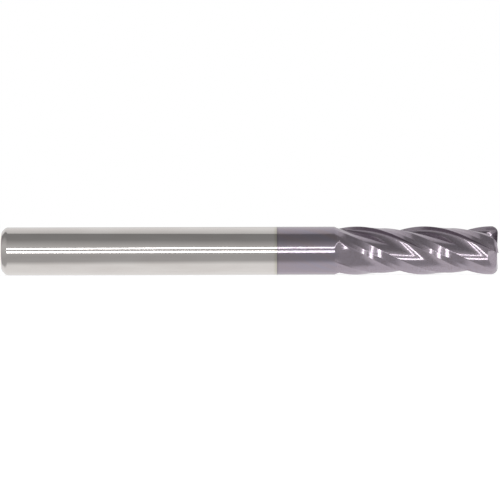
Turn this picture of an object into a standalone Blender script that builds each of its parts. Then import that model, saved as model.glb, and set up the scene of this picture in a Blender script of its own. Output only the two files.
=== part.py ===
"""Four-flute solid-carbide end mill with a corner radius and a plain cylindrical shank.

Frame, in metres: the tool's axis is +X, from the origin at the middle of the shank's rear face
to the cutting end, and +Z is up, with the tool lying on its side. Angles about the axis run
from +Y towards +Z, which is the way the tool turns when it cuts. The tool is right-hand cutting
with a right-hand helix, so each cutting edge leads its land, and the flute lies ahead of it.

The carbide rod is in two pieces that meet face to face where the coating ends: the bare ground
shank, and the cutter with its neck, flutes and end teeth. The coating is a film over the cutter.
"""

import math

import bmesh
import bpy
from mathutils import Matrix

MM = 0.001

# Driving dimensions
DIAMETER = 6.0 * MM  # of the shank, the neck and the cutting edges
OVERALL_LENGTH = 62.0 * MM
COATED_LENGTH = 27.6 * MM  # from the cutting end back to the edge of the coating
FLUTED_LENGTH = 20.4 * MM  # from the cutting end back to where the flutes first break the neck
RUN_OUT = 5.0 * MM  # length over which the flutes deepen
LEAD = 33.7 * MM  # length of one turn of the helix, about 29 degrees at the surface
TEETH = 4
CORNER_RADIUS = 0.8 * MM
REAR_CHAMFER = 0.6 * MM
FILM = 0.004 * MM  # thickness of the coating

# One edge stands straight up at this distance back from the cutting end
TOP_EDGE_SETBACK = 0.78 * MM

# Cross-section of a tooth and its flute, as shares of the radius and in degrees. The land has
# two flat reliefs. A convex back wall falls from the heel, turns concave into the flute's floor,
# and a tight fillet turns the floor up the rake face of the edge behind.
RAKE = 8.0
PRIMARY_WIDTH = 12.5  # angle behind the edge at which the first relief ends
PRIMARY_RELIEF = 16.5
HEEL = 33.0  # angle behind the edge at which the second relief ends
SECONDARY_RELIEF = 27.75
BACK_TOP_NORMAL = 38.0  # direction that the back wall faces at the heel
FLOOR_TOP_NORMAL = 4.0  # and where it turns concave
FLOOR_END_NORMAL = 28.0  # and where the floor meets the fillet
BACK_RADIUS = 0.73
FILLET_RADIUS = 0.10

# How the flutes and the lands rise to the neck
LAND_RUN_OUT = 3.0 * MM
PLUNGE = 3.0  # power of the curve along which the wheel goes in, steeper as it grows
NECK_GATHER = 1.8  # above 1, it draws a flute's points on the neck towards the edge behind
RAKE_DELAY = 0.6 * MM  # by which the rake side breaks the neck later than the heel side
RAKE_DELAY_ANGLE = 30.0

# End teeth
DISH = 2.0  # degrees by which the end edges fall towards the middle
END_CLEARANCE = 9.0  # degrees by which the end face falls behind its edge
GASH_DEPTH = 1.35 * MM
GASH_TOP = 0.16 * MM  # depth at which the gashes meet in the middle
CENTRE_WEB = 0.06  # radius of the flat in the middle

# Fineness of the mesh
SHANK_SIDES = 48
FILLET_STEPS = 3
FLOOR_STEPS = 3
BACK_STEPS = 3
FLUTE_STATIONS = 17
RUN_OUT_STATIONS = 7
CORNER_STEPS = 3
END_STEPS = 4

# Finishes, as linear colour and roughness
BARE_CARBIDE = ((0.62, 0.585, 0.565), 0.22)
INNER_CARBIDE = ((0.45, 0.44, 0.43), 0.35)
NITRIDE_FILM = ((0.33, 0.30, 0.34), 0.28)
SMOOTH_ANGLE = 28.0  # facets that meet at less than this are shaded as one surface

RADIUS = DIAMETER / 2
PITCH = 360.0 / TEETH
COATING_EDGE = OVERALL_LENGTH - COATED_LENGTH
FLUTE_START = OVERALL_LENGTH - FLUTED_LENGTH
END_GAP = 0.1 * MM  # between the last full section and the foot of the gashes
END_START = OVERALL_LENGTH - GASH_DEPTH - END_GAP


def clear_scene():
    """Removes every object, so that the file holds only this tool."""
    for item in list(bpy.data.objects):
        bpy.data.objects.remove(item, do_unlink=True)


def metal(name, finish):
    """A metallic Principled material of a finish's colour and roughness."""
    colour, roughness = finish
    material = bpy.data.materials.new(name)
    material.use_nodes = True
    shader = material.node_tree.nodes["Principled BSDF"]
    shader.inputs["Base Color"].default_value = (*colour, 1.0)
    shader.inputs["Metallic"].default_value = 1.0
    shader.inputs["Roughness"].default_value = roughness
    return material


def add_object(name, mesh, material):
    """Puts a mesh in the scene as one named object, with its round stretches shaded smooth."""
    mesh.materials.append(material)
    mesh.shade_smooth()
    mesh.set_sharp_from_angle(angle=math.radians(SMOOTH_ANGLE))
    item = bpy.data.objects.new(name, mesh)
    bpy.context.scene.collection.objects.link(item)
    return item


def edge_angle(x):
    """Angle in degrees of a cutting edge at a distance along the axis."""
    return 90.0 + (x - (OVERALL_LENGTH - TOP_EDGE_SETBACK)) * 360.0 / LEAD


def polar(point):
    """Angle in degrees and radius of a point of the cross-section."""
    return math.degrees(math.atan2(point[1], point[0])), math.hypot(point[0], point[1])


def from_polar(angle, radius):
    """The point of the cross-section at an angle in degrees and a radius."""
    return radius * math.cos(math.radians(angle)), radius * math.sin(math.radians(angle))


def between(start, end, share):
    """The point at a share of the way from one point to another."""
    return tuple(a + (b - a) * share for a, b in zip(start, end))


def arc_points(start, radius, first, last, steps):
    """Points along an arc from a start point, as the direction it faces turns from first to last.

    A positive radius is a convex arc and a negative one is concave.
    """
    centre = tuple(a - radius * b for a, b in zip(start, from_polar(first, 1.0)))
    points = []
    for step in range(1, steps + 1):
        facing = from_polar(first + (last - first) * step / steps, 1.0)
        points.append(tuple(a + radius * b for a, b in zip(centre, facing)))
    return points


def land_outline():
    """Points of a land on a unit circle, from its heel to the end of its first relief.

    The land belongs to the edge at one pitch. Each relief is flat, and its angle is the one
    between the direction that it faces and the edge's own radius.
    """
    bevel_radius = math.cos(math.radians(PRIMARY_RELIEF)) / math.cos(
        math.radians(PRIMARY_RELIEF - PRIMARY_WIDTH)
    )
    bevel = from_polar(PITCH - PRIMARY_WIDTH, bevel_radius)
    offset = bevel_radius * math.cos(math.radians(SECONDARY_RELIEF - PRIMARY_WIDTH))
    heel_radius = offset / math.cos(math.radians(SECONDARY_RELIEF - HEEL))
    heel = from_polar(PITCH - HEEL, heel_radius)
    return [heel, between(heel, bevel, 0.5), bevel]


def flute_outline():
    """Points of one flute on a unit circle, from below the edge at angle 0 to below the heel."""
    heel = land_outline()[0]
    back = arc_points(heel, BACK_RADIUS, BACK_TOP_NORMAL, FLOOR_TOP_NORMAL, BACK_STEPS)
    rake_normal = 90.0 + RAKE
    facing = from_polar(rake_normal, 1.0)
    top, low = from_polar(FLOOR_TOP_NORMAL, 1.0), from_polar(FLOOR_END_NORMAL, 1.0)
    # The floor's radius is the one that brings the rake face out through the edge at (1, 0)
    left = [
        edge - start - FILLET_RADIUS * (a - b)
        for edge, start, a, b in zip((1.0, 0.0), back[-1], low, facing)
    ]
    turned = sum((a - b) * c for a, b, c in zip(top, low, facing))
    floor_radius = sum(a * b for a, b in zip(left, facing)) / turned
    floor = arc_points(
        back[-1], -floor_radius, FLOOR_TOP_NORMAL, FLOOR_END_NORMAL, FLOOR_STEPS
    )
    fillet = arc_points(
        floor[-1], -FILLET_RADIUS, FLOOR_END_NORMAL, rake_normal, FILLET_STEPS
    )
    return [between((1.0, 0.0), fillet[-1], 0.5), *fillet[::-1], *floor[::-1], *back[::-1]]


def sector():
    """One tooth pitch of the section, as rows of kind, angle, radius, angle on the neck, run-out.

    A flute's points are spread out where the flute breaks the neck, and slide to their places
    as it deepens. A shallow point is at its full depth sooner than a deep one, so that all of
    them go in at the same slope.
    """
    flute = [polar(point) for point in flute_outline()]
    deepest = 1.0 - min(radius for _, radius in flute)
    rows = [("edge", 0.0, 1.0, 0.0, LAND_RUN_OUT)]
    for i, (angle, radius) in enumerate(flute):
        neck_angle = (PITCH - HEEL) * ((i + 1) / (len(flute) + 1)) ** NECK_GATHER
        rows.append(("flute", angle, radius, neck_angle, RUN_OUT * (1.0 - radius) / deepest))
    for angle, radius in map(polar, land_outline()):
        rows.append(("land", angle, radius, angle, LAND_RUN_OUT))
    return rows


def deepened(travel, length):
    """Share of the full depth that a grinding wheel has reached, which levels off at its length."""
    share = min(max(travel / length, 0.0), 1.0)
    return 1.0 - (1.0 - share) ** PLUNGE


def section_point(row, x):
    """Angle in degrees and radius in metres of one point of the section at x."""
    kind, angle, radius, neck_angle, run_out = row
    travel = x - FLUTE_START
    if kind == "flute":
        travel -= RAKE_DELAY * max(1.0 - neck_angle / RAKE_DELAY_ANGLE, 0.0) ** 2
    depth = deepened(travel, run_out)
    return neck_angle + (angle - neck_angle) * depth, (1.0 - (1.0 - radius) * depth) * RADIUS


def end_path(row):
    """Points (x, radius) of a column of the mesh over the end of the tool, to the middle."""
    kind, angle, share, _, _ = row
    radius = share * RADIUS
    behind = PITCH - angle if kind == "land" else 0.0
    middle = CENTRE_WEB * RADIUS
    path = []
    if kind == "flute":
        depth = GASH_DEPTH
        for step in range(CORNER_STEPS + END_STEPS + 1):
            along = step / (CORNER_STEPS + END_STEPS)
            path.append(
                (
                    OVERALL_LENGTH - depth + (depth - GASH_TOP) * along,
                    radius + (middle - radius) * along,
                )
            )
        return path
    fall = math.sin(math.radians(behind)) * math.tan(math.radians(END_CLEARANCE))
    shoulder = radius - CORNER_RADIUS
    top = OVERALL_LENGTH - fall * RADIUS
    for step in range(CORNER_STEPS + 1):
        turn = math.radians(90.0 * step / CORNER_STEPS)
        path.append(
            (
                top - CORNER_RADIUS * (1.0 - math.sin(turn)),
                shoulder + CORNER_RADIUS * math.cos(turn),
            )
        )
    for step in range(1, END_STEPS + 1):
        reach = shoulder + (middle - shoulder) * step / END_STEPS
        dish = (RADIUS - reach) * math.tan(math.radians(DISH))
        path.append((OVERALL_LENGTH - fall * reach - dish, reach))
    return path


def stations():
    """Distances along the axis at which the fluted body has a section."""
    full_depth = FLUTE_START + RUN_OUT
    spots = [
        FLUTE_START + RUN_OUT * step / RUN_OUT_STATIONS for step in range(RUN_OUT_STATIONS)
    ]
    for step in range(FLUTE_STATIONS + 1):
        spots.append(full_depth + (END_START - full_depth) * step / FLUTE_STATIONS)
    return spots


def add_ring(mesh, points):
    """One closed ring of vertices from rows of x, angle in degrees and radius."""
    ring = []
    for x, angle, radius in points:
        y, z = from_polar(angle, radius)
        ring.append(mesh.verts.new((x, y, z)))
    return ring


def cutter_mesh():
    """The neck, flutes and end teeth as one closed skin of triangles."""
    rows = sector()
    turns = [PITCH * tooth for tooth in range(TEETH)]
    columns = [(turn, row) for turn in turns for row in rows]
    mesh = bmesh.new()
    rings = []
    neck = [(COATING_EDGE, edge_angle(FLUTE_START) + turn + row[3], RADIUS) for turn, row in columns]
    rings.append(add_ring(mesh, neck))
    for x in stations():
        points = []
        for turn, row in columns:
            angle, radius = section_point(row, x)
            points.append((x, edge_angle(x) + turn + angle, radius))
        rings.append(add_ring(mesh, points))
    paths = [end_path(row) for _, row in columns]
    for step in range(CORNER_STEPS + END_STEPS + 1):
        points = []
        for (turn, row), path in zip(columns, paths):
            x, radius = path[step]
            points.append((x, edge_angle(x) + turn + row[1], radius))
        rings.append(add_ring(mesh, points))
    count = len(columns)
    for near, far in zip(rings, rings[1:]):
        for i in range(count):
            j = (i + 1) % count
            mesh.faces.new((near[i], near[j], far[j], far[i]))
    mesh.faces.new(list(reversed(rings[0])))
    mesh.faces.new(rings[-1])
    bmesh.ops.recalc_face_normals(mesh, faces=mesh.faces)
    bmesh.ops.triangulate(mesh, faces=mesh.faces)
    return mesh


def make_cutter(material):
    """The cutter's carbide: neck, flutes and end teeth."""
    mesh = cutter_mesh()
    data = bpy.data.meshes.new("cutter")
    mesh.to_mesh(data)
    mesh.free()
    return add_object("cutter", data, material)


def make_coating(material):
    """The coating's film over all of the cutter but its rear face."""
    mesh = cutter_mesh()
    buried = [face for face in mesh.faces if face.calc_center_median().x < COATING_EDGE + FILM]
    bmesh.ops.delete(mesh, geom=buried, context="FACES")
    data = bpy.data.meshes.new("hard_coating")
    mesh.to_mesh(data)
    mesh.free()
    film = add_object("hard_coating", data, material)
    wall = film.modifiers.new("film", "SOLIDIFY")
    wall.thickness = FILM
    wall.offset = 1.0
    wall.use_even_offset = False
    return film


def make_shank(material):
    """The bare ground shank, with a chamfer round its rear face."""
    mesh = bmesh.new()
    along = Matrix.Rotation(math.radians(90.0), 4, "Y")
    half_facet = Matrix.Rotation(math.radians(180.0 / SHANK_SIDES), 4, "X")
    centre = Matrix.Translation((COATING_EDGE / 2, 0.0, 0.0))
    bmesh.ops.create_cone(
        mesh,
        cap_ends=True,
        segments=SHANK_SIDES,
        radius1=RADIUS,
        radius2=RADIUS,
        depth=COATING_EDGE,
        matrix=centre @ half_facet @ along,
    )
    rear = [edge for edge in mesh.edges if all(v.co.x < REAR_CHAMFER for v in edge.verts)]
    bmesh.ops.bevel(
        mesh, geom=rear, offset=REAR_CHAMFER, offset_type="OFFSET", segments=1, affect="EDGES"
    )
    bmesh.ops.recalc_face_normals(mesh, faces=mesh.faces)
    data = bpy.data.meshes.new("shank")
    mesh.to_mesh(data)
    mesh.free()
    return add_object("shank", data, material)


def main():
    """Makes the three pieces in an empty scene."""
    clear_scene()
    make_shank(metal("ground_carbide", BARE_CARBIDE))
    make_cutter(metal("carbide", INNER_CARBIDE))
    make_coating(metal("hard_coating", NITRIDE_FILM))


main()
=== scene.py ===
"""Looks of a solid-carbide end mill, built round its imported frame.

The tool lies along +X with its rear face at the origin. The bare ground shank and the coated
cutter are remade finely over their CAD nodes, dressed in ground-metal finishes, and set on a pale
floor under soft studio light.
"""

from __future__ import annotations

import logging
import math
from dataclasses import dataclass, field
from enum import Enum
from functools import cached_property

import bmesh
import bpy
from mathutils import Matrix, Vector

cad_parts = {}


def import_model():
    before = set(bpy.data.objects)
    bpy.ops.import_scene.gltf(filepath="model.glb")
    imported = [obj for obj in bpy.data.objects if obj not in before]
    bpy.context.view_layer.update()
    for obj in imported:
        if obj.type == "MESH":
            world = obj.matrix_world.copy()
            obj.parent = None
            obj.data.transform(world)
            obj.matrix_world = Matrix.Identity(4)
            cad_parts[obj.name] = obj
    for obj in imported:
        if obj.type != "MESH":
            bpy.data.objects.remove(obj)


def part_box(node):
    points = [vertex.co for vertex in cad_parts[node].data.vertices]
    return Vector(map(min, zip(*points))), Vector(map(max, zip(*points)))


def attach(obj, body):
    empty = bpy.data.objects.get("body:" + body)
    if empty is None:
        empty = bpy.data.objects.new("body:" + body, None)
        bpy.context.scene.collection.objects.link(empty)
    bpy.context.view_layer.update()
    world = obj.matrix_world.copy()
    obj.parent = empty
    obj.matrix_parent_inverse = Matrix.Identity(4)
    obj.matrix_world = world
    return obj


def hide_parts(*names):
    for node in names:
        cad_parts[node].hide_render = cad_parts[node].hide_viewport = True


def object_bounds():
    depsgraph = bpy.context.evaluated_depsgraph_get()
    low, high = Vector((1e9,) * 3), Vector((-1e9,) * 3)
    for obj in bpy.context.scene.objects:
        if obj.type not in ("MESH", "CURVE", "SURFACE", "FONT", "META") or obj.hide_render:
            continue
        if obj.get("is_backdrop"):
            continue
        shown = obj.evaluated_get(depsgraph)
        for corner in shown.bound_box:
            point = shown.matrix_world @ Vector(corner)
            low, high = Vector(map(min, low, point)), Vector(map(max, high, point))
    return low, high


LOG = logging.getLogger("end_mill")
MM = 0.001
DIAMETER = 6.0 * MM  # of the shank, the neck and the cutting edges
SMOOTH_ANGLE = 30.0  # degrees between two faces, below which they are shaded as one surface
WHITE = (1.0, 1.0, 1.0, 1.0)

Pair = tuple[float, float]
Point = tuple[float, float]
Sizes = tuple[float, float, float]
Ring = list[tuple[float, float, float]]
Colour = tuple[float, float, float, float]
Socket = bpy.types.NodeSocket


class Side(Enum):
    """Which part of the section a point is on."""

    EDGE = "edge"
    RAKE = "rake"
    FLOOR = "floor"
    BACK = "back"
    LAND = "land"


def polar(point: Point) -> Point:
    """Gives a point of the section as its angle in degrees and its radius."""
    return math.degrees(math.atan2(point[1], point[0])), math.hypot(*point)


def from_polar(angle: float, radius: float) -> Point:
    """Gives the point at an angle in degrees and a radius."""
    return radius * math.cos(math.radians(angle)), radius * math.sin(math.radians(angle))


def between(start: Point, end: Point, share: float) -> Point:
    """Gives the point at a share of the way from one point to another."""
    return start[0] + (end[0] - start[0]) * share, start[1] + (end[1] - start[1]) * share


def ramp(value: float, low: float, high: float) -> float:
    """Gives how far a value has gone from low to high, held between 0 and 1."""
    return min(max((value - low) / (high - low), 0.0), 1.0)


# --------------------------------------------------------------------------------------------
# Shapes
# --------------------------------------------------------------------------------------------


@dataclass(frozen=True)
class Column:
    """One point of the tooth's section, which runs along the tool as a column of the mesh.

    Attributes:
        side: where on the tooth the point is.
        angle: degrees ahead of the cutting edge, at full depth.
        radius: share of the tool's radius, at full depth.
        neck_angle: degrees ahead of the edge on the neck, before the flute has any depth.
        gash: share of the end gash's depth that the point reaches at the end.
    """

    side: Side
    angle: float
    radius: float
    neck_angle: float
    gash: float


@dataclass(frozen=True)
class ToothForm:
    """Cross-section of a tooth and its flute on a unit circle, in shares and degrees.

    The land has two flat reliefs. A convex back wall falls from the heel and turns concave into
    the flute's floor, and a tight fillet turns the floor up the rake face of the edge behind.

    Attributes:
        teeth: number of teeth.
        rake: angle by which the rake face leans back from the radius.
        primary_width: angle behind the edge at which the first relief ends.
        primary_relief: angle at which the first relief falls away.
        heel: angle behind the edge at which the second relief ends.
        secondary_relief: angle at which the second relief falls away.
        back_top_normal: direction that the back wall faces at the heel.
        below_heel_normal: direction that it faces at an extra point just below the heel.
        floor_top_normal: direction that it faces where it turns concave.
        floor_end_normal: direction that the floor faces where it meets the fillet.
        back_radius: of the convex back wall.
        fillet_radius: of the fillet under the rake face.
        neck_gather: above 1, it draws a flute's points on the neck towards the edge behind.
        gash_width: angle ahead of the edge over which the end gash is at its deepest.
        gash_rise: radii between which the gash fades out up the rake face.
        depth_fineness: fineness with which the flute's depth is measured.
        rake_shares: where the rake face has points, from the edge to the fillet.
        secondary_shares: where the second relief has points, from the heel to the first relief.
        primary_shares: where the first relief has points, from there to the edge.
    """

    teeth: int = 4
    rake: float = 8.0
    primary_width: float = 12.5
    primary_relief: float = 16.5
    heel: float = 33.0
    secondary_relief: float = 27.75
    back_top_normal: float = 38.0
    below_heel_normal: float = 37.2
    floor_top_normal: float = 4.0
    floor_end_normal: float = 28.0
    back_radius: float = 0.73
    fillet_radius: float = 0.10
    neck_gather: float = 1.8
    gash_width: float = 26.0
    gash_rise: Pair = (0.75, 0.88)
    depth_fineness: int = 4
    rake_shares: tuple[float, ...] = (0.03, 0.15, 0.35, 0.55, 0.75, 0.92)
    secondary_shares: tuple[float, ...] = (0.03, 0.2, 0.4, 0.6, 0.8, 0.97)
    primary_shares: tuple[float, ...] = (0.06, 0.3, 0.6, 0.94)

    @property
    def pitch(self) -> float:
        """Angle from one tooth to the next."""
        return 360.0 / self.teeth

    @property
    def flute_width(self) -> float:
        """Angle from an edge forward to the heel of the tooth ahead."""
        return self.pitch - self.heel

    @cached_property
    def flute_depth(self) -> float:
        """Depth of the flute at its lowest point, as a share of the tool's radius."""
        parts = self.flute(self.depth_fineness)
        return 1.0 - min(math.hypot(*point) for part in parts for point in part)

    @staticmethod
    def arc(start: Point, radius: float, first: float, last: float, steps: int) -> list[Point]:
        """Steps along an arc as the direction that it faces turns.

        Args:
            start: the arc's first point, which is left out of the result.
            radius: positive for a convex arc and negative for a concave one.
            first: direction that the arc faces at its start, in degrees.
            last: direction that it faces at its end.
            steps: number of points to give.

        Returns:
            The points after the start.
        """
        facing = from_polar(first, radius)
        centre = (start[0] - facing[0], start[1] - facing[1])
        points = []
        for step in range(1, steps + 1):
            facing = from_polar(first + (last - first) * step / steps, radius)
            points.append((centre[0] + facing[0], centre[1] + facing[1]))
        return points

    def land_corners(self) -> tuple[Point, Point]:
        """Works out the land of the tooth ahead, whose edge is one pitch on.

        Returns:
            The heel, and the bevel line between the two reliefs.
        """
        bevel_radius = math.cos(math.radians(self.primary_relief)) / math.cos(
            math.radians(self.primary_relief - self.primary_width)
        )
        offset = bevel_radius * math.cos(math.radians(self.secondary_relief - self.primary_width))
        heel_radius = offset / math.cos(math.radians(self.secondary_relief - self.heel))
        heel = from_polar(self.flute_width, heel_radius)
        return heel, from_polar(self.pitch - self.primary_width, bevel_radius)

    def flute(self, fineness: int) -> tuple[list[Point], list[Point], list[Point]]:
        """Draws the flute from the heel inwards and up to the rake face.

        The floor's radius is the one that brings the rake face out through the edge at (1, 0).

        Args:
            fineness: points along the fillet, with twice as many on the wall and on the floor.

        Returns:
            The back wall, the floor and the fillet.
        """
        heel, _ = self.land_corners()
        back = self.arc(
            heel, self.back_radius, self.back_top_normal, self.floor_top_normal, 2 * fineness
        )
        rake_normal = 90.0 + self.rake
        facing = from_polar(rake_normal, 1.0)
        top = from_polar(self.floor_top_normal, 1.0)
        low = from_polar(self.floor_end_normal, 1.0)
        left = [
            edge - start - self.fillet_radius * (a - b)
            for edge, start, a, b in zip((1.0, 0.0), back[-1], low, facing)
        ]
        turned = sum((a - b) * c for a, b, c in zip(top, low, facing))
        floor_radius = sum(a * b for a, b in zip(left, facing)) / turned
        floor = self.arc(
            back[-1], -floor_radius, self.floor_top_normal, self.floor_end_normal, 2 * fineness
        )
        fillet = self.arc(
            floor[-1], -self.fillet_radius, self.floor_end_normal, rake_normal, fineness
        )
        return back, floor, fillet

    def flute_columns(self, fineness: int) -> list[Column]:
        """Gives the flute's columns, from the edge forward to the heel of the tooth ahead.

        Args:
            fineness: points along the fillet.

        Returns:
            The columns in order of their place round the tool.
        """
        heel, _ = self.land_corners()
        back, floor, fillet = self.flute(fineness)
        rake = [between((1.0, 0.0), fillet[-1], share) for share in self.rake_shares]
        below = self.arc(heel, self.back_radius, self.back_top_normal, self.below_heel_normal, 1)
        points = [(Side.RAKE, point) for point in rake + fillet[::-1]]
        points += [(Side.FLOOR, point) for point in floor[-2::-1]]
        points += [(Side.BACK, point) for point in back[-2::-1] + below]
        rows = []
        for i, (side, point) in enumerate(points):
            angle, radius = polar(point)
            gash = 1.0 - ramp(angle, self.gash_width, self.flute_width)
            if side is Side.RAKE:
                gash = 1.0 - ramp(radius, *self.gash_rise)
            share = (i + 1) / (len(points) + 1)
            neck_angle = self.flute_width * share**self.neck_gather
            rows.append(Column(side, angle, radius, neck_angle, gash))
        return rows

    def land_columns(self) -> list[Column]:
        """Gives the columns of the land ahead, from its heel nearly to its edge.

        Returns:
            The columns in order of their place round the tool.
        """
        heel, bevel = self.land_corners()
        edge = from_polar(self.pitch, 1.0)
        land = [heel, *(between(heel, bevel, share) for share in self.secondary_shares), bevel]
        land += [between(bevel, edge, share) for share in self.primary_shares]
        return [
            Column(Side.LAND, angle, radius, angle, 0.0) for angle, radius in map(polar, land)
        ]

    def columns(self, fineness: int) -> list[Column]:
        """Gives one pitch of the section, from an edge forward to the edge ahead."""
        edge = Column(Side.EDGE, 0.0, 1.0, 0.0, 0.0)
        return [edge, *self.flute_columns(fineness), *self.land_columns()]


@dataclass
class Cutter:
    """The coated neck, flutes and end teeth, remade finely over their CAD nodes.

    Attributes:
        start: distance along the axis of the coating's edge.
        end: distance along the axis of the cutting end.
        radius: of the cutting edges and the neck.
        form: cross-section of a tooth and its flute.
        lead: length of one turn of the helix.
        top_edge_setback: distance back from the end at which an edge stands straight up.
        fluted_length: from the end back to where the flutes break the neck.
        run_out: length over which the flutes deepen.
        land_run_out: length over which the reliefs deepen.
        plunge: power of the curve along which the grinding wheel goes in.
        rake_delay: distance by which the rake side breaks the neck later than the heel side.
        rake_delay_angle: degrees ahead of the edge up to which the delay acts.
        corner_radius: of the teeth's outer corners.
        dish: degrees by which the end edges fall towards the middle.
        end_clearance: degrees by which the end face falls behind its edge.
        clearance_start: degrees ahead of the edge where the end face of the tooth ahead begins.
        clearance_width: degrees behind an edge over which its end face falls.
        gash_depth: of the end gashes at their outer end.
        gash_top: depth at which the gashes meet in the middle.
        gash_reach: share of the radius at which a gash is at its deepest.
        centre_web: share of the radius that stays flat in the middle.
        least_shoulder: share of the radius below which no corner begins.
        thin_ring: width of the narrow rings that keep the neck's shading straight.
        neck_lead: distance before the flutes of the neck's last plain ring.
        end_gap: distance between the last section of the flutes and the gashes.
        fineness: points along a fillet.
        flute_step: distance between two sections of the flutes.
        run_out_stations: number of sections in the run-out.
        run_out_crowding: power that draws those sections towards the neck.
        end_steps: rings from the corners to the middle of the end.
        corner_steps: rings round the corners.
    """

    start: float
    end: float
    radius: float
    form: ToothForm = field(default_factory=ToothForm)
    lead: float = 33.7 * MM
    top_edge_setback: float = 0.78 * MM
    fluted_length: float = 20.4 * MM
    run_out: float = 5.0 * MM
    land_run_out: float = 3.0 * MM
    plunge: float = 3.0
    rake_delay: float = 0.6 * MM
    rake_delay_angle: float = 30.0
    corner_radius: float = 0.8 * MM
    dish: float = 2.0
    end_clearance: float = 9.0
    clearance_start: float = 30.0
    clearance_width: float = 60.0
    gash_depth: float = 1.35 * MM
    gash_top: float = 0.16 * MM
    gash_reach: float = 0.72
    centre_web: float = 0.06
    least_shoulder: float = 0.3
    thin_ring: float = 0.02 * MM
    neck_lead: float = 0.3 * MM
    end_gap: float = 0.05 * MM
    fineness: int = 8
    flute_step: float = 0.16 * MM
    run_out_stations: int = 44
    run_out_crowding: float = 1.3
    end_steps: int = 22
    corner_steps: int = 10

    @property
    def flute_start(self) -> float:
        """Distance along the axis at which the flutes break the neck."""
        return self.end - self.fluted_length

    def edge_angle(self, x: float) -> float:
        """Gives the angle in degrees of a cutting edge at a distance along the axis."""
        return 90.0 + (x - (self.end - self.top_edge_setback)) * 360.0 / self.lead

    def deepened(self, travel: float, length: float) -> float:
        """Gives the share of the full depth that the grinding wheel has reached."""
        return 1.0 - (1.0 - ramp(travel, 0.0, length)) ** self.plunge

    def section_point(self, column: Column, x: float) -> Point:
        """Places a column on the fluted body.

        Args:
            column: the point of the section.
            x: distance along the axis.

        Returns:
            The point's angle ahead of the edge in degrees and its radius in metres.
        """
        travel = x - self.flute_start
        if column.side in (Side.LAND, Side.EDGE):
            depth = self.deepened(travel, self.land_run_out)
        else:
            late = max(1.0 - column.neck_angle / self.rake_delay_angle, 0.0) ** 2
            reach = self.run_out * (1.0 - column.radius) / self.form.flute_depth
            depth = self.deepened(travel - self.rake_delay * late, reach)
        angle = column.neck_angle + (column.angle - column.neck_angle) * depth
        return angle, (1.0 - (1.0 - column.radius) * depth) * self.radius

    def end_height(self, column: Column, reach: float) -> float:
        """Works out how far back the end's surface lies, from the tooth's form and the gash's.

        Args:
            column: the point of the section whose line over the end is followed.
            reach: radius on that line in metres.

        Returns:
            The distance along the axis.
        """
        behind = self.form.pitch - column.angle if column.angle > self.clearance_start else 0.0
        fall = reach * math.sin(math.radians(min(behind, self.clearance_width)))
        fall *= math.tan(math.radians(self.end_clearance))
        inside = max(self.radius - self.corner_radius - reach, 0.0)
        dish = inside * math.tan(math.radians(self.dish))
        outer = self.radius
        if column.side in (Side.BACK, Side.LAND):
            outer = column.radius * self.radius
        inset = min(max(reach - (outer - self.corner_radius), 0.0), self.corner_radius)
        corner = self.corner_radius - math.sqrt(self.corner_radius**2 - inset**2)
        out = min(reach / (self.gash_reach * self.radius), 1.0)
        floor = self.gash_top + (self.gash_depth - self.gash_top) * out
        drop = (1.0 - column.gash) * (fall + dish + corner)
        drop += column.gash * max(floor, corner)
        return self.end - drop

    def end_path(self, turn: float, column: Column) -> Ring:
        """Follows a column over the corner and across the end to the middle.

        Args:
            turn: angle of the tooth in degrees.
            column: the point of the section.

        Returns:
            Rows of x, angle in degrees and radius in metres.
        """
        outer = column.radius * self.radius
        shoulder = max(outer - self.corner_radius, self.least_shoulder * self.radius)
        middle = self.centre_web * self.radius
        reaches = [
            shoulder + (outer - shoulder) * math.cos(math.radians(90.0 * step / self.corner_steps))
            for step in range(self.corner_steps + 1)
        ]
        reaches += [
            shoulder + (middle - shoulder) * step / self.end_steps
            for step in range(1, self.end_steps + 1)
        ]
        path = []
        for reach in reaches:
            x = self.end_height(column, reach)
            path.append((x, self.edge_angle(x) + turn + column.angle, reach))
        return path

    def neck_stations(self) -> tuple[float, ...]:
        """Gives the distances along the axis at which the plain neck has a ring."""
        rear, front = self.start + self.thin_ring, self.flute_start - self.thin_ring
        return self.start, rear, self.flute_start - self.neck_lead, front

    def flute_stations(self) -> list[float]:
        """Spreads the sections of the fluted body, closely where the flutes break the neck.

        Returns:
            Their distances along the axis.
        """
        full = self.flute_start + self.run_out
        last = self.end - self.gash_depth - self.end_gap
        count = math.ceil((last - full) / self.flute_step)
        spots = [
            self.flute_start + self.run_out * (step / self.run_out_stations) ** self.run_out_crowding
            for step in range(self.run_out_stations)
        ]
        return spots + [full + (last - full) * step / count for step in range(count + 1)]

    def rings(self) -> list[Ring]:
        """Gives every ring of the mesh, from the neck over the flutes to the middle of the end.

        Returns:
            For each ring, its rows of x, angle in degrees and radius in metres.
        """
        rows = self.form.columns(self.fineness)
        teeth = [self.form.pitch * tooth for tooth in range(self.form.teeth)]
        columns = [(turn, row) for turn in teeth for row in rows]
        neck_edge = self.edge_angle(self.flute_start)
        made = [
            [(x, neck_edge + turn + row.neck_angle, self.radius) for turn, row in columns]
            for x in self.neck_stations()
        ]
        for x in self.flute_stations():
            made.append([])
            for turn, row in columns:
                angle, radius = self.section_point(row, x)
                made[-1].append((x, self.edge_angle(x) + turn + angle, radius))
        paths = [self.end_path(turn, row) for turn, row in columns]
        return made + [list(ring) for ring in zip(*paths)]

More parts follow.
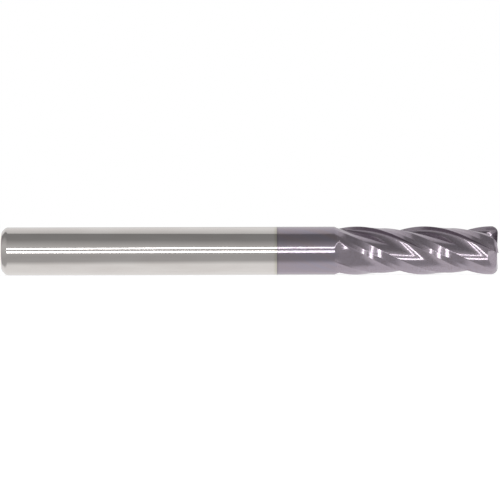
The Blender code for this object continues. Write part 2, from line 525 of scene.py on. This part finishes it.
    def build(self) -> bpy.types.Object:
        """Extrudes the section ring by ring along the helix, and closes the end.

        Returns:
            The cutter's object.
        """
        rings = self.rings()
        bpy.ops.mesh.primitive_circle_add(
            vertices=len(rings[0]), radius=self.radius, fill_type="NGON", location=(0, 0, 0)
        )
        piece = bpy.context.object
        piece.name = piece.data.name = "coated_cutter"
        bpy.ops.object.mode_set(mode="EDIT")
        mesh = bmesh.from_edit_mesh(piece.data)
        place = mesh.verts.layers.int.new("place")
        mesh.verts.ensure_lookup_table()
        for i, vert in enumerate(mesh.verts):
            vert[place] = i
        self.place_ring(mesh, rings[0])
        bmesh.update_edit_mesh(piece.data)
        for ring in rings[1:]:
            bpy.ops.mesh.extrude_region_move()
            mesh = bmesh.from_edit_mesh(piece.data)
            self.place_ring(mesh, ring)
            bmesh.update_edit_mesh(piece.data)
        bpy.ops.mesh.select_all(action="SELECT")
        bpy.ops.mesh.normals_make_consistent(inside=False)
        if bmesh.from_edit_mesh(piece.data).calc_volume(signed=True) < 0.0:
            bpy.ops.mesh.flip_normals()
        bpy.ops.object.mode_set(mode="OBJECT")
        bpy.ops.object.shade_smooth_by_angle(angle=math.radians(SMOOTH_ANGLE))
        return piece

    @staticmethod
    def place_ring(mesh: bmesh.types.BMesh, ring: Ring) -> None:
        """Puts the newest ring's points where the section says.

        Args:
            mesh: the mesh in edit mode, with only the newest ring selected.
            ring: rows of x, angle in degrees and radius in metres.
        """
        place = mesh.verts.layers.int["place"]
        for vert in mesh.verts:
            if vert.select:
                x, angle, radius = ring[vert[place]]
                vert.co = (x, *from_polar(angle, radius))


@dataclass
class Shank:
    """The bare ground shank, remade finely over its CAD node.

    Attributes:
        end: distance along the axis of the coating's edge.
        radius: of the ground cylinder.
        chamfer: size of the rear chamfer.
        soft_edge: width by which the chamfer's two edges are rounded.
        soft_steps: segments of that rounding.
        rim_reach: distance from the rear face within which the rim to chamfer is found.
        soft_reach: distance from it within which the chamfer's edges are found.
        level: most that a rim's points may differ along the axis.
        sides: of the cylinder.
    """

    end: float
    radius: float
    chamfer: float = 0.6 * MM
    soft_edge: float = 0.25 * MM
    soft_steps: int = 6
    rim_reach: float = 0.1 * MM
    soft_reach: float = 0.9 * MM
    level: float = 0.001 * MM
    sides: int = 256

    def build(self) -> bpy.types.Object:
        """Adds the cylinder, chamfers its rear rim and softens the chamfer's edges.

        Returns:
            The shank's object.
        """
        bpy.ops.mesh.primitive_cylinder_add(
            vertices=self.sides,
            radius=self.radius,
            depth=self.end,
            end_fill_type="NGON",
            location=(self.end / 2, 0, 0),
            rotation=(0, math.radians(90.0), 0),
        )
        piece = bpy.context.object
        piece.name = piece.data.name = "ground_shank"
        bpy.ops.object.transform_apply(location=True, rotation=True, scale=True)
        self.bevel_rims(piece, self.rim_reach, self.chamfer, 1)
        self.bevel_rims(piece, self.soft_reach, self.soft_edge, self.soft_steps)
        bpy.ops.object.shade_smooth_by_angle(angle=math.radians(SMOOTH_ANGLE))
        return piece

    def bevel_rims(self, piece: bpy.types.Object, reach: float, width: float, steps: int) -> None:
        """Bevels the rims that go round the rear of the shank.

        Args:
            piece: the shank's object.
            reach: how far from the rear face a rim may lie.
            width: of the bevel.
            steps: segments of the bevel.
        """
        bpy.ops.object.mode_set(mode="EDIT")
        bpy.ops.mesh.select_mode(type="EDGE")
        bpy.ops.mesh.select_all(action="DESELECT")
        mesh = bmesh.from_edit_mesh(piece.data)
        for edge in mesh.edges:
            first, second = (vert.co.x for vert in edge.verts)
            edge.select_set(max(first, second) < reach and abs(first - second) < self.level)
        bmesh.update_edit_mesh(piece.data)
        bpy.ops.mesh.bevel(offset=width, segments=steps, affect="EDGES")
        bpy.ops.object.mode_set(mode="OBJECT")


# --------------------------------------------------------------------------------------------
# Finishes
# --------------------------------------------------------------------------------------------


class NodeBench:
    """A node tree, with a short call for each kind of node.

    Attributes:
        COLOURS: places of the share and the two colours among a Mix node's inputs.
        NUMBERS: places of the share and the two numbers.
    """

    COLOURS = (0, 6, 7)
    NUMBERS = (0, 2, 3)

    def __init__(self, tree: bpy.types.NodeTree) -> None:
        """Takes the tree to work on."""
        self.tree = tree

    def link(self, source: Socket, target: Socket) -> None:
        """Joins an output socket to an input socket."""
        self.tree.links.new(source, target)

    def feed(self, value: object, target: Socket) -> None:
        """Gives a socket its value.

        Args:
            value: an output socket to link, or a plain value to set.
            target: the input socket.
        """
        if isinstance(value, Socket):
            self.link(value, target)
        else:
            target.default_value = value

    def math(self, operation: str, first: object, second: object = 0.0) -> Socket:
        """Adds a Math node.

        Args:
            operation: name of what the node works out.
            first: its first value or socket.
            second: its second, for an operation that has one.

        Returns:
            The result's socket.
        """
        node = self.tree.nodes.new("ShaderNodeMath")
        node.operation = operation
        self.feed(first, node.inputs[0])
        self.feed(second, node.inputs[1])
        return node.outputs[0]

    def place(self, kind: str) -> tuple[Socket, ...]:
        """Adds a Texture Coordinate node and splits what it gives.

        Args:
            kind: name of the coordinates.

        Returns:
            The sockets of X, Y and Z.
        """
        coordinates = self.tree.nodes.new("ShaderNodeTexCoord")
        split = self.tree.nodes.new("ShaderNodeSeparateXYZ")
        self.link(coordinates.outputs[kind], split.inputs[0])
        return tuple(split.outputs)

    def noise(self, place: tuple[Socket, ...], sizes: Sizes, detail: float) -> Socket:
        """Adds a noise texture, stretched along each direction.

        Args:
            place: sockets of the three coordinates.
            sizes: how large the noise's features are along each, in metres.
            detail: how many finer layers it has.

        Returns:
            The socket of its value, from 0 to 1.
        """
        join = self.tree.nodes.new("ShaderNodeCombineXYZ")
        for value, size, target in zip(place, sizes, join.inputs):
            self.link(self.math("DIVIDE", value, size), target)
        node = self.tree.nodes.new("ShaderNodeTexNoise")
        node.inputs["Scale"].default_value = 1.0
        node.inputs["Detail"].default_value = detail
        self.link(join.outputs[0], node.inputs["Vector"])
        return node.outputs["Fac"]

    def shift(self, value: Socket, ends: tuple[float, float, float, float]) -> Socket:
        """Maps a value from one range to another, and holds it between the ends.

        Args:
            value: socket of the value.
            ends: its lowest and highest, and what they become.

        Returns:
            The socket of the mapped value.
        """
        node = self.tree.nodes.new("ShaderNodeMapRange")
        self.link(value, node.inputs["Value"])
        for name, end in zip(("From Min", "From Max", "To Min", "To Max"), ends):
            node.inputs[name].default_value = end
        return node.outputs[0]

    def blend(self, share: object, first: object, second: object) -> Socket:
        """Mixes two colours.

        Args:
            share: of the second colour, as a value or a socket.
            first: colour or socket.
            second: colour or socket.

        Returns:
            The socket of the mixed colour.
        """
        node = self.tree.nodes.new("ShaderNodeMix")
        node.data_type = "RGBA"
        for value, socket in zip((share, first, second), self.COLOURS):
            self.feed(value, node.inputs[socket])
        return node.outputs[2]

    def blend_values(self, share: object, first: object, second: object) -> Socket:
        """Mixes two numbers.

        Args:
            share: of the second number, as a value or a socket.
            first: number or socket.
            second: number or socket.

        Returns:
            The socket of the mixed number.
        """
        node = self.tree.nodes.new("ShaderNodeMix")
        for value, socket in zip((share, first, second), self.NUMBERS):
            self.feed(value, node.inputs[socket])
        return node.outputs[0]


class MaterialBench(NodeBench):
    """A new material with a Principled shader."""

    def __init__(self, name: str) -> None:
        """Starts the material.

        Args:
            name: of the material.
        """
        self.material = bpy.data.materials.new(name)
        self.material.use_nodes = True
        super().__init__(self.material.node_tree)
        self.shader = self.tree.nodes["Principled BSDF"]

    def drive(self, name: str, value: object) -> None:
        """Gives one of the shader's inputs a value or a socket."""
        self.feed(value, self.shader.inputs[name])

    def bump(self, height: Socket, depth: float) -> None:
        """Roughens the surface.

        Args:
            height: socket of a height from 0 to 1.
            depth: what a height of 1 means, in metres.
        """
        node = self.tree.nodes.new("ShaderNodeBump")
        node.inputs["Strength"].default_value = 1.0
        node.inputs["Distance"].default_value = depth
        self.link(height, node.inputs["Height"])
        self.link(node.outputs[0], self.shader.inputs["Normal"])


@dataclass(frozen=True)
class GroundCarbide:
    """Bare cemented carbide, centreless ground, with a straw tint where the coating oven reached.

    Attributes:
        coating_edge: distance along the axis at which the bare metal ends.
        colour: of the metal.
        light: of the metal in its paler clouds.
        straw: of the heat tint.
        straw_width: distance over which the tint comes in.
        roughness: least roughness.
        rough_range: how much rougher the grinding lines are.
        line_sizes: of the grinding lines, which run round the shank.
        line_range: values of the noise between which a line goes from smooth to rough.
        line_depth: of the lines.
        cloud_sizes: of the clouds, which run along the shank.
        cloud_range: values of the noise between which a cloud goes from dark to pale.
    """

    coating_edge: float
    colour: Colour = (0.62, 0.585, 0.565, 1.0)
    light: Colour = (0.66, 0.63, 0.61, 1.0)
    straw: Colour = (0.52, 0.50, 0.43, 1.0)
    straw_width: float = 0.45 * MM
    roughness: float = 0.055
    rough_range: float = 0.04
    line_sizes: Sizes = (0.09 * MM, 6.0 * MM, 6.0 * MM)
    line_range: Pair = (0.3, 0.7)
    line_depth: float = 0.0004 * MM
    cloud_sizes: Sizes = (7.0 * MM, 1.6 * MM, 1.6 * MM)
    cloud_range: Pair = (0.35, 0.65)

    def material(self) -> bpy.types.Material:
        """Makes the material: lines round the shank, long faint clouds and the straw band.

        Returns:
            The material.
        """
        bench = MaterialBench("ground_carbide")
        place = bench.place("Object")
        lines = bench.noise(place, self.line_sizes, detail=4.0)
        clouds = bench.noise(place, self.cloud_sizes, detail=2.0)
        pale = bench.shift(clouds, (*self.cloud_range, 0.0, 1.0))
        metal = bench.blend(pale, self.colour, self.light)
        tint_start = self.coating_edge - self.straw_width
        heat = bench.shift(place[0], (tint_start, self.coating_edge, 0.0, 1.0))
        bench.drive("Base Color", bench.blend(heat, metal, self.straw))
        roughest = self.roughness + self.rough_range
        rough = bench.shift(lines, (*self.line_range, self.roughness, roughest))
        bench.drive("Roughness", rough)
        bench.drive("Metallic", 1.0)
        bench.bump(lines, self.line_depth)
        return bench.material


@dataclass(frozen=True)
class HardCoating:
    """Purple-grey nitride film over form-ground carbide.

    Attributes:
        coating_edge: distance along the axis at which the film starts.
        flute_start: distance at which the flutes break the neck.
        lead: length of one turn of the helix.
        colour: of the film.
        brown: of the film where it drifts to brown.
        violet: of the film where it drifts to violet.
        flute_colour_and_painted_fill: paler film on the ground flutes, partly their own finish
        and partly painted fill light that lifts the shade inside the flutes.
        flute_finish_and_fill_share: how much of that colour the flutes take.
        flute_fade: distance over which the neck's look changes to the flutes'.
        speck: colour of the specks in the flutes.
        speck_share: how much of that colour a speck takes.
        rim: colour of the film's thin first ring.
        rim_width: of that ring.
        roughness: of the film in the flutes.
        neck_roughness: least and most on the neck.
        rough_scratch: roughness of the finest scratches in the flutes.
        depth: of the relief.
        neck_relief: share of the relief that the neck's lines have.
        streak_relief: share that the grinding streaks have in the flutes.
        bead_relief: share that the chatter beads have in the flutes.
        ring_sizes: of the grinding lines that run round the neck.
        streak_sizes: along the axis and across, of the grinding streaks along the helix.
        bead_sizes: of the chatter beads along the helix.
        tint_sizes: of the drifting tints along the helix.
        speck_sizes: of the specks.
        scratch_sizes: of the finest scratches.
        brown_range: values of the tints' noise between which brown gives way to the film's colour.
        violet_range: values between which that gives way to violet.
        speck_range: values of the specks' noise between which a speck comes in.
        ring_range: values of the rings' noise between which the neck goes from smooth to rough.
        scratch_range: values of the scratches' noise between which a scratch comes in.
    """

    coating_edge: float
    flute_start: float
    lead: float
    colour: Colour = (0.34, 0.298, 0.345, 1.0)
    brown: Colour = (0.35, 0.296, 0.325, 1.0)
    violet: Colour = (0.328, 0.30, 0.36, 1.0)
    flute_colour_and_painted_fill: Colour = (0.395, 0.346, 0.402, 1.0)
    flute_finish_and_fill_share: float = 0.85
    flute_fade: float = 0.6 * MM
    speck: Colour = (0.26, 0.20, 0.19, 1.0)
    speck_share: float = 0.62
    # rim: darker colour over the thin ring where the film starts.
    rim: Colour = (0.27, 0.24, 0.26, 1.0)
    rim_width: float = 0.3 * MM
    roughness: float = 0.14
    neck_roughness: Pair = (0.11, 0.19)
    rough_scratch: float = 0.42
    depth: float = 0.0006 * MM
    neck_relief: float = 0.3
    streak_relief: float = 0.35
    bead_relief: float = 0.65
    ring_sizes: Sizes = (0.09 * MM, 6.0 * MM, 6.0 * MM)
    streak_sizes: Sizes = (3.0 * MM, 0.05 * MM, 0.05 * MM)
    bead_sizes: Sizes = (0.24 * MM, 0.6 * MM, 0.6 * MM)
    tint_sizes: Sizes = (5.0 * MM, 0.9 * MM, 0.9 * MM)
    speck_sizes: Sizes = (0.13 * MM, 0.13 * MM, 0.13 * MM)
    scratch_sizes: Sizes = (0.025 * MM, 0.025 * MM, 0.025 * MM)
    brown_range: Pair = (0.3, 0.5)
    violet_range: Pair = (0.5, 0.7)
    speck_range: Pair = (0.54, 0.66)
    ring_range: Pair = (0.3, 0.7)
    scratch_range: Pair = (0.5, 0.62)

    def helix(self, bench: MaterialBench, place: tuple[Socket, ...]) -> tuple[Socket, ...]:
        """Turns the coordinates with the helix, so that a texture follows the flutes.

        Args:
            bench: the material's nodes.
            place: sockets of X, Y and Z.

        Returns:
            The sockets of X and of the turned Y and Z.
        """
        x, y, z = place
        turn = bench.math("MULTIPLY", x, 2.0 * math.pi / self.lead)
        cosine, sine = bench.math("COSINE", turn), bench.math("SINE", turn)
        y_cosine, z_sine = bench.math("MULTIPLY", y, cosine), bench.math("MULTIPLY", z, sine)
        z_cosine, y_sine = bench.math("MULTIPLY", z, cosine), bench.math("MULTIPLY", y, sine)
        across = bench.math("ADD", y_cosine, z_sine)
        return x, across, bench.math("SUBTRACT", z_cosine, y_sine)

    def film(
        self,
        bench: MaterialBench,
        place: tuple[Socket, ...],
        along: tuple[Socket, ...],
        fluted: Socket,
    ) -> Socket:
        """Colours the film: drifting tints, the flutes' paler colour with its painted fill light,
        the flutes' specks and the darker first ring.

        Args:
            bench: the material's nodes.
            place: sockets of X, Y and Z.
            along: the same, turned with the helix.
            fluted: socket of how far the flutes' look has come in.

        Returns:
            The socket of the colour.
        """
        tints = bench.noise(along, self.tint_sizes, detail=2.0)
        grain = bench.noise(place, self.speck_sizes, detail=3.0)
        grey, violet = (
            bench.shift(tints, (*values, 0.0, 1.0))
            for values in (self.brown_range, self.violet_range)
        )
        film = bench.blend(grey, self.brown, self.colour)
        film = bench.blend(violet, film, self.violet)
        # The flutes' paler colour is partly their own ground finish and partly painted fill light
        # over the shade inside them.
        film = bench.blend(bench.math("MULTIPLY", fluted, self.flute_finish_and_fill_share), film, self.flute_colour_and_painted_fill)
        specks = bench.shift(grain, (*self.speck_range, 0.0, self.speck_share))
        film = bench.blend(bench.math("MULTIPLY", specks, fluted), film, self.speck)
        rim_end = self.coating_edge + self.rim_width
        start = bench.shift(place[0], (self.coating_edge, rim_end, 1.0, 0.0))
        return bench.blend(start, film, self.rim)

    def material(self) -> bpy.types.Material:
        """Makes the material: lines round the neck, and streaks and beads along the flutes.

        Returns:
            The material.
        """
        bench = MaterialBench("hard_coating")
        place = bench.place("Object")
        along = self.helix(bench, place)
        flutes_full = self.flute_start + self.flute_fade
        fluted = bench.shift(place[0], (self.flute_start, flutes_full, 0.0, 1.0))
        bench.drive("Base Color", self.film(bench, place, along, fluted))

        rounds = bench.noise(place, self.ring_sizes, detail=4.0)
        scratches = bench.noise(place, self.scratch_sizes, detail=1.0)
        neck_rough = bench.shift(rounds, (*self.ring_range, *self.neck_roughness))
        flute_ends = (*self.scratch_range, self.roughness, self.rough_scratch)
        flute_rough = bench.shift(scratches, flute_ends)
        bench.drive("Roughness", bench.blend_values(fluted, neck_rough, flute_rough))
        bench.drive("Metallic", 1.0)

        streaks = bench.noise(along, self.streak_sizes, detail=3.0)
        beads = bench.noise(along, self.bead_sizes, detail=1.0)
        ground = bench.math(
            "ADD",
            bench.math("MULTIPLY", streaks, self.streak_relief),
            bench.math("MULTIPLY", beads, self.bead_relief),
        )
        lined = bench.math("MULTIPLY", rounds, self.neck_relief)
        bench.bump(bench.blend_values(fluted, lined, ground), self.depth)
        return bench.material


@dataclass(frozen=True)
class PaleFloor:
    """A pale matt tabletop with a faint mottle, which glows a little, as if lit from all round.

    Attributes:
        light: colour of its lighter parts.
        dark: colour of its darker parts.
        mottle_sizes: of the mottle.
        roughness: of the top.
        shine: specular level.
        glow: strength of its own light.
    """

    light: Colour = (0.93, 0.93, 0.93, 1.0)
    dark: Colour = (0.90, 0.90, 0.905, 1.0)
    mottle_sizes: Sizes = (50.0 * MM, 50.0 * MM, 1.0)
    roughness: float = 0.8
    shine: float = 0.2
    glow: float = 0.5

    def material(self) -> bpy.types.Material:
        """Makes the material.

        Returns:
            The material.
        """
        bench = MaterialBench("pale_floor")
        mottle = bench.noise(bench.place("Object"), self.mottle_sizes, detail=2.0)
        bench.drive("Base Color", bench.blend(mottle, self.light, self.dark))
        bench.drive("Roughness", self.roughness)
        bench.drive("Specular IOR Level", self.shine)
        bench.drive("Emission Color", WHITE)
        bench.drive("Emission Strength", self.glow)
        return bench.material


def dress(piece: bpy.types.Object, material: bpy.types.Material) -> None:
    """Gives an object one material."""
    piece.data.materials.clear()
    piece.data.materials.append(material)


# --------------------------------------------------------------------------------------------
# Studio
# --------------------------------------------------------------------------------------------


@dataclass(frozen=True)
class StripLamp:
    """A long soft lamp in front of the tool.

    Attributes:
        name: of the lamp.
        elevation: degrees above the tool's axis, seen from the tool.
        height: degrees that the lamp covers from bottom to top.
        slant: degrees by which its +X end is raised.
        glow: its brightness, where 1 is white.
        distance: from the tool.
        length: along the tool.
        offset: how far its middle lies towards +X from the tool's middle.
    """

    name: str
    elevation: float
    height: float
    slant: float
    glow: float
    distance: float = 0.9
    length: float = 0.84
    offset: float = 0.10

    def build(self, middle: float) -> None:
        """Adds the lamp.

        Args:
            middle: distance along X of the tool's middle.
        """
        lift = math.radians(self.elevation)
        out, up = self.distance * math.cos(lift), self.distance * math.sin(lift)
        bpy.ops.object.light_add(
            type="AREA",
            location=(middle + self.offset, -out, up),
            rotation=(math.radians(90.0) - lift, 0.0, 0.0),
        )
        lamp = bpy.context.object
        lamp.name = self.name
        lamp.rotation_euler.rotate_axis("Z", math.radians(self.slant))
        lamp.data.shape = "RECTANGLE"
        lamp.data.size = self.length
        lamp.data.size_y = 2.0 * self.distance * math.tan(math.radians(self.height / 2))
        lamp.data.energy = self.glow * math.pi * lamp.data.size * lamp.data.size_y
        lamp.visible_camera = False


@dataclass
class Studio:
    """The pale floor, the soft surround, the lamps and the camera.

    Attributes:
        low: lowest corner of the tool's box.
        high: highest corner of the tool's box.
        floor_size: width of the floor.
        distance: of the camera.
        sensor: width of the camera's sensor in its own unit.
        view_width: width that the camera sees at the tool.
        aim: X and Z that the camera looks at.
        roll: degrees by which the camera leans.
        clip: nearest and farthest that the camera sees.
        surround: brightness by degrees above the level, from behind the tool through straight
            down, the front and straight up to behind again.
        lamps: the two lamps in front.
    """

    low: tuple[float, float, float]
    high: tuple[float, float, float]
    floor_size: float = 6.0
    distance: float = 0.63
    sensor: float = 36.0
    view_width: float = 62.45 * MM
    aim: Point = (31.06 * MM, 0.106 * MM)
    roll: float = 0.136
    clip: Pair = (0.01, 100.0)
    surround: tuple[Pair, ...] = (
        (-180.0, 1.0),
        (-175.0, 1.0),
        (-160.0, 0.9),
        (-140.0, 1.05),
        (-66.0, 0.97),
        (-46.0, 0.5),
        (-22.0, 0.48),
        (-8.0, 0.55),
        (17.0, 0.62),
        (30.0, 0.5),
        (52.0, 0.3),
        (88.0, 0.27),
        (91.5, 0.7),
        (120.0, 0.9),
        (145.0, 0.95),
        (160.0, 0.7),
        (172.0, 1.0),
        (180.0, 1.0),
    )
    lamps: tuple[StripLamp, ...] = (
        StripLamp("upper_strip", 15.2, 3.2, 12.0, 7.5),
        StripLamp("lower_strip", -4.2, 6.4, 0.0, 7.5),
    )

    @property
    def middle(self) -> float:
        """Distance along X of the tool's middle."""
        return (self.low[0] + self.high[0]) / 2

    def build_floor(self) -> None:
        """Lays the floor under the tool, out of its reflections."""
        bpy.ops.mesh.primitive_plane_add(
            size=self.floor_size, location=(self.middle, 0.0, self.low[2])
        )
        floor = bpy.context.object
        floor.name = "floor"
        bpy.ops.object.transform_apply(location=True, rotation=True, scale=True)
        floor.visible_glossy = False
        dress(floor, PaleFloor().material())
        floor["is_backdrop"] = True

    def graded_light(self, bench: NodeBench) -> Socket:
        """Grades the surround by height, with the side at the shank's end counted as the front.

        Args:
            bench: the world's nodes.

        Returns:
            The socket of the colour, where 1 is the brightest.
        """
        x, y, z = bench.place("Generated")
        front = bench.math("MULTIPLY", bench.math("ADD", bench.math("MINIMUM", x, 0.0), y), -1.0)
        lift = bench.math("ARCTAN2", z, front)
        curve = bench.tree.nodes.new("ShaderNodeValToRGB")
        bench.link(bench.shift(lift, (-math.pi, math.pi, 0.0, 1.0)), curve.inputs[0])
        brightest = max(glow for _, glow in self.surround)
        stops = curve.color_ramp.elements
        for elevation, _ in self.surround[1:-1]:
            stops.new((elevation + 180.0) / 360.0)
        for stop, (_, glow) in zip(stops, self.surround):
            stop.color = (*[glow / brightest] * 3, 1.0)
        return curve.outputs[0]

    def build_surround(self) -> None:
        """Makes the world: a graded room in reflections, and a white sheet where it is seen."""
        world = bpy.data.worlds.new("soft_surround")
        bpy.context.scene.world = world
        world.use_nodes = True
        bench = NodeBench(world.node_tree)
        room = bench.tree.nodes["Background"]
        room.inputs["Strength"].default_value = max(glow for _, glow in self.surround)
        bench.link(self.graded_light(bench), room.inputs["Color"])
        sheet = bench.tree.nodes.new("ShaderNodeBackground")
        sheet.inputs["Color"].default_value = WHITE
        seen = bench.tree.nodes.new("ShaderNodeLightPath")
        pick = bench.tree.nodes.new("ShaderNodeMixShader")
        bench.link(seen.outputs["Is Camera Ray"], pick.inputs[0])
        bench.link(room.outputs[0], pick.inputs[1])
        bench.link(sheet.outputs[0], pick.inputs[2])
        bench.link(pick.outputs[0], bench.tree.nodes["World Output"].inputs["Surface"])

    def build_camera(self) -> None:
        """Sets a long lens square to the tool, level with its axis."""
        bpy.ops.object.camera_add(
            location=(self.aim[0], -self.distance, self.aim[1]),
            rotation=(math.radians(90.0), 0.0, 0.0),
        )
        camera = bpy.context.object
        camera.name = "camera"
        camera.rotation_euler.rotate_axis("Z", -math.radians(self.roll))
        camera.data.sensor_width = self.sensor
        camera.data.lens = self.sensor * self.distance / self.view_width
        camera.data.clip_start, camera.data.clip_end = self.clip
        bpy.context.scene.camera = camera

    def build(self) -> None:
        """Builds all of the studio."""
        bpy.context.scene.view_settings.view_transform = "Standard"
        self.build_floor()
        self.build_surround()
        for lamp in self.lamps:
            lamp.build(self.middle)
        self.build_camera()


def corners() -> list[list[float]]:
    """Gives the shown object's lowest and highest corner as plain lists."""
    return [list(corner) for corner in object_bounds()]


def deselect_all() -> None:
    """Leaves nothing selected, so that an operator acts only on what it is meant for."""
    bpy.ops.object.select_all(action="DESELECT")


def finish_piece(piece: bpy.types.Object, nodes: tuple[str, ...]) -> None:
    """Fixes a piece to the frame and reports it.

    Args:
        piece: the new piece.
        nodes: CAD nodes that it stands for.
    """
    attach(piece, "root")
    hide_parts(*nodes)
    LOG.info("%s: %d faces for %s", piece.name, len(piece.data.polygons), ", ".join(nodes))
    deselect_all()


def main() -> None:
    """Builds the tool's two pieces, their finishes and the studio."""
    logging.basicConfig(level=logging.INFO, format="%(message)s")
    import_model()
    cad_box = corners()
    deselect_all()
    _, shank_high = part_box("shank")
    cutter_low, cutter_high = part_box("cutter")

    shank = Shank(end=shank_high[0], radius=DIAMETER / 2)
    piece = shank.build()
    dress(piece, GroundCarbide(shank.end).material())
    finish_piece(piece, ("shank",))

    cutter = Cutter(start=cutter_low[0], end=cutter_high[0], radius=DIAMETER / 2)
    piece = cutter.build()
    dress(piece, HardCoating(cutter.start, cutter.flute_start, cutter.lead).material())
    finish_piece(piece, ("cutter", "hard_coating"))

    Studio(tuple(cad_box[0]), tuple(cad_box[1])).build()


if __name__ == "__main__":
    main()
